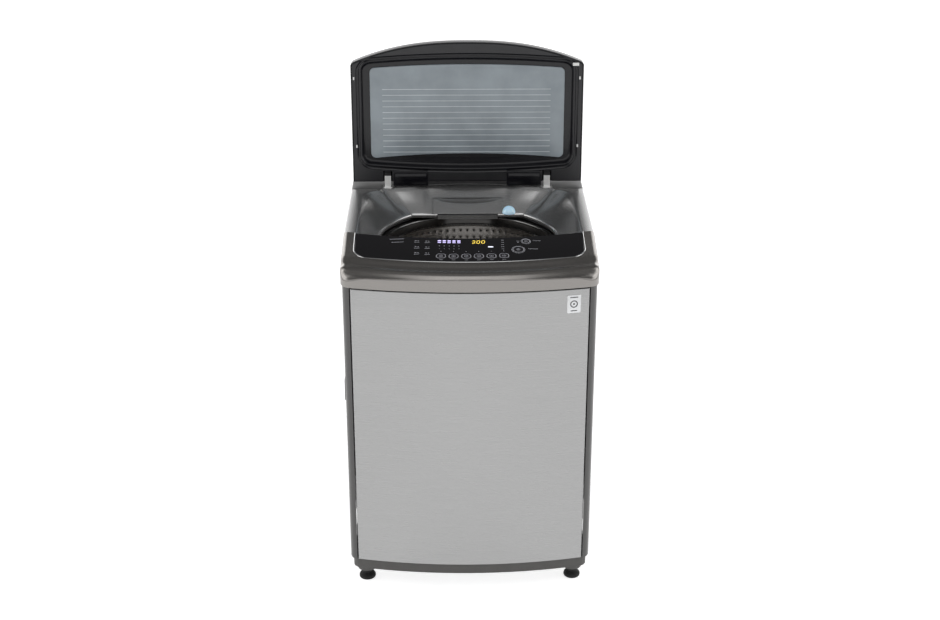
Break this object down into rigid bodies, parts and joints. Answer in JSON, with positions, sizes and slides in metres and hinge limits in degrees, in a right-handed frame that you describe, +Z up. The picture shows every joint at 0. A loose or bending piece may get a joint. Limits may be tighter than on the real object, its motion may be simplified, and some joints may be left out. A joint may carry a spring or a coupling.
{
  "type": "top load washing machine",
  "caption": "Upright top load washing machine with a bowed steel front, sloping control panel, open hinged lid, funnel bowl, spinning basket and pulsator.",
  "frame": {"origin": "middle of the footprint, on the floor under the levelling feet", "axes": "+Z up, the front with the control panel faces -Y, +X to the right of a person facing the front"},
  "size_m": [0.632, 0.67, 1.3191],
  "materials": {
    "stainless": "horizontally brushed, satin",
    "cabinet_paint": "warm grey metallic, satin",
    "silver_plastic": "metallic silver, satin gloss",
    "fascia_plastic": "dark warm metallic, satin gloss",
    "black_glass": "black, gloss",
    "button_gloss": "black, gloss",
    "chrome": "mirror bright",
    "dark_plastic": "fine moulded grain",
    "base_plastic": "dark grey, fine moulded grain",
    "lid_gloss": "black, gloss",
    "lid_plate": "blue grey, satin, with fine raised lines",
    "white_plastic": "satin",
    "badge": "satin",
    "tub_plastic": "fine moulded grain",
    "ring_plastic": "dark metallic, gloss",
    "drum_steel": "stainless, bright, perforated",
    "shaft_steel": "ground",
    "cast_aluminium": "as cast",
    "zinc_steel": "zinc plated",
    "rubber": "matt",
    "lens": "pale blue, clear gloss",
    "board_green": "solder resist"
  },
  "bodies": {
    "cabinet": {"cabinet_shell": "cabinet_paint", "front_panel": "stainless", "rear_cover": "cabinet_paint", "base_frame": "base_plastic", "top_cover": "silver_plastic", "hinge_deck": "silver_plastic", "control_fascia": "fascia_plastic", "control_glass": "black_glass", "chrome_trim": "chrome", "control_board": "board_green", "dispenser_housing": "silver_plastic", "tub_lamp_lens": "lens", "lid_switch": "white_plastic", "water_inlet_valve": "white_plastic", "drain_pump": "dark_plastic", "drain_outlet": "dark_plastic", "cord_gland": "dark_plastic", "hose_hook": "dark_plastic", "front_badge": "badge", "suspension_rod_front_left": "zinc_steel", "suspension_rod_front_right": "zinc_steel", "suspension_rod_rear_left": "zinc_steel", "suspension_rod_rear_right": "zinc_steel", "hinge_bracket_left": "zinc_steel", "hinge_bracket_right": "zinc_steel", "hinge_pin_left": "shaft_steel", "hinge_pin_right": "shaft_steel"},
    "lid": {"lid_outer_shell": "lid_gloss", "lid_inner_frame": "dark_plastic", "lid_inner_plate": "lid_plate", "hinge_arm_left": "white_plastic", "hinge_arm_right": "white_plastic", "hinge_cover_left": "lid_gloss", "hinge_cover_right": "lid_gloss"},
    "tub": {"outer_tub": "tub_plastic", "tub_cover": "dark_plastic", "bearing_housing": "cast_aluminium", "stator": "cast_aluminium", "drain_sleeve": "rubber"},
    "basket": {"basket_drum": "drum_steel", "balance_ring": "ring_plastic", "basket_hub": "cast_aluminium", "lint_filter": "white_plastic"},
    "pulsator": {"pulsator": "white_plastic", "drive_shaft": "shaft_steel", "rotor": "zinc_steel"},
    "dispenser_drawer": {"dispenser_drawer": "silver_plastic"},
    "key_1": {"key_1": "button_gloss"},
    "key_2": {"key_2": "button_gloss"},
    "key_3": {"key_3": "button_gloss"},
    "key_4": {"key_4": "button_gloss"},
    "key_5": {"key_5": "button_gloss"},
    "key_6": {"key_6": "button_gloss"},
    "start_button": {"start_button": "button_gloss"},
    "power_button": {"power_button": "button_gloss"},
    "levelling_foot_front_left": {"levelling_foot_front_left": "rubber"},
    "levelling_foot_front_right": {"levelling_foot_front_right": "rubber"},
    "levelling_foot_rear_left": {"levelling_foot_rear_left": "rubber"},
    "levelling_foot_rear_right": {"levelling_foot_rear_right": "rubber"}
  },
  "joints": [
    {"name": "lid_hinge", "type": "hinge", "parent": "cabinet", "child": "lid", "pos_m": [0, 0.252, 0.921], "axis": [1, 0, 0], "range_deg": [0, 92]},
    {"name": "tub_suspension", "type": "slide", "parent": "cabinet", "child": "tub", "axis": [0, 0, 1], "range_m": [-0.03, 0.005], "stiffness_N_per_m": 12000, "springref_m": 0.02593},
    {"name": "basket_spin", "type": "hinge", "parent": "tub", "child": "basket", "pos_m": [0, 0.015, 0.5], "axis": [0, 0, 1], "continuous": true},
    {"name": "pulsator_spin", "type": "hinge", "parent": "tub", "child": "pulsator", "pos_m": [0, 0.015, 0.25], "axis": [0, 0, 1], "continuous": true},
    {"name": "drawer_slide", "type": "slide", "parent": "cabinet", "child": "dispenser_drawer", "axis": [0, -1, 0], "range_m": [0, 0.1]},
    {"name": "key_1_press", "type": "slide", "parent": "cabinet", "child": "key_1", "axis": [0, 0.1927, -0.9812], "range_m": [0, 0.001], "stiffness_N_per_m": 900},
    {"name": "key_2_press", "type": "slide", "parent": "cabinet", "child": "key_2", "axis": [0, 0.1927, -0.9812], "range_m": [0, 0.001], "stiffness_N_per_m": 900},
    {"name": "key_3_press", "type": "slide", "parent": "cabinet", "child": "key_3", "axis": [0, 0.1927, -0.9812], "range_m": [0, 0.001], "stiffness_N_per_m": 900},
    {"name": "key_4_press", "type": "slide", "parent": "cabinet", "child": "key_4", "axis": [0, 0.1927, -0.9812], "range_m": [0, 0.001], "stiffness_N_per_m": 900},
    {"name": "key_5_press", "type": "slide", "parent": "cabinet", "child": "key_5", "axis": [0, 0.1927, -0.9812], "range_m": [0, 0.001], "stiffness_N_per_m": 900},
    {"name": "key_6_press", "type": "slide", "parent": "cabinet", "child": "key_6", "axis": [0, 0.1927, -0.9812], "range_m": [0, 0.001], "stiffness_N_per_m": 900},
    {"name": "start_button_press", "type": "slide", "parent": "cabinet", "child": "start_button", "axis": [0, 0.1927, -0.9812], "range_m": [0, 0.001], "stiffness_N_per_m": 900},
    {"name": "power_button_press", "type": "slide", "parent": "cabinet", "child": "power_button", "axis": [0, 0.1927, -0.9812], "range_m": [0, 0.001], "stiffness_N_per_m": 900},
    {"name": "foot_screw_front_left", "type": "slide", "parent": "cabinet", "child": "levelling_foot_front_left", "axis": [0, 0, -1], "range_m": [0, 0.015]},
    {"name": "foot_screw_front_right", "type": "slide", "parent": "cabinet", "child": "levelling_foot_front_right", "axis": [0, 0, -1], "range_m": [0, 0.015]},
    {"name": "foot_screw_rear_left", "type": "slide", "parent": "cabinet", "child": "levelling_foot_rear_left", "axis": [0, 0, -1], "range_m": [0, 0.015]},
    {"name": "foot_screw_rear_right", "type": "slide", "parent": "cabinet", "child": "levelling_foot_rear_right", "axis": [0, 0, -1], "range_m": [0, 0.015]}
  ]
}
